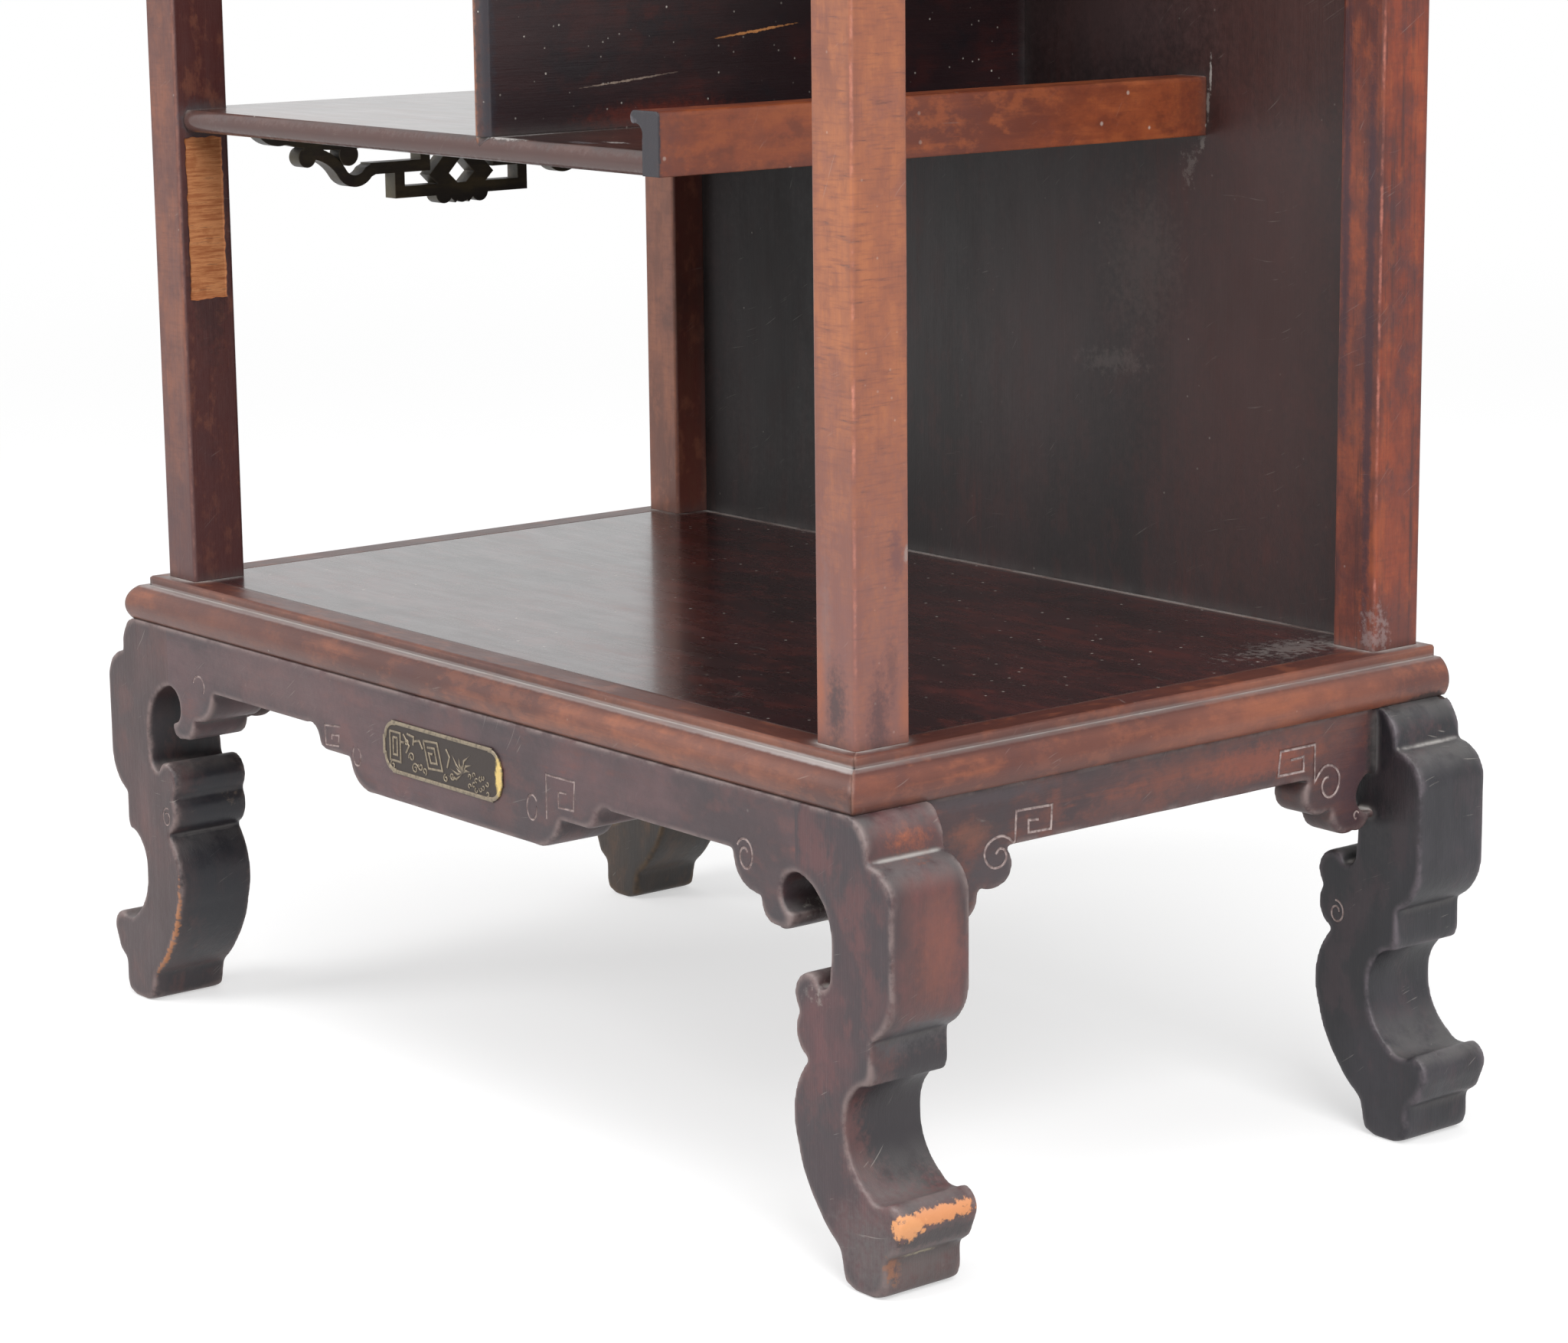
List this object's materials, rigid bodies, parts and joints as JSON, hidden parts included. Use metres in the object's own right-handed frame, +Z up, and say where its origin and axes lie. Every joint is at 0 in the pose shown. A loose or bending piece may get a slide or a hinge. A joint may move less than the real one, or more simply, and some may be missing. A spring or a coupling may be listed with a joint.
{
  "type": "open book cabinet",
  "caption": "Open East Asian book cabinet with staggered shelves, upturned shelf lips, pierced friezes, moulded frames and scroll-foot legs.",
  "frame": {"origin": "on the floor, under the middle of the cabinet's box", "axes": "+X along the front to the right, +Y to the back, +Z up; the front with the brass plaque faces -Y"},
  "size_m": [0.9614, 0.5422, 1.7945],
  "materials": {
    "case": "worn red-brown lacquer, satin",
    "legs": "dark purple-brown lacquer, worn satin",
    "boards": "near-black brown lacquer, glossy",
    "fret": "black-brown lacquer, satin",
    "brass": "dull aged brass"
  },
  "bodies": {
    "root": {"post_front_left": "case", "post_front_right": "case", "post_back_left": "case", "post_back_right": "case", "base_rail_front": "case", "base_rail_left": "case", "base_rail_right": "case", "base_rail_back": "case", "top_rail_front": "case", "top_rail_left": "case", "top_rail_right": "case", "top_rail_back": "case", "shelf_1_lip": "case", "shelf_2_lip": "case", "shelf_3_lip": "case", "leg_front_left": "legs", "leg_front_right": "legs", "leg_back_left": "legs", "leg_back_right": "legs", "apron_front": "legs", "apron_back": "legs", "apron_left": "legs", "apron_right": "legs", "base_panel": "boards", "top_panel": "boards", "back_panel": "boards", "shelf_1": "boards", "shelf_2": "boards", "shelf_3": "boards", "partition_1": "boards", "partition_2": "boards", "frieze_1": "fret", "frieze_2": "fret", "frieze_3": "fret", "plaque": "brass"}
  },
  "joints": []
}
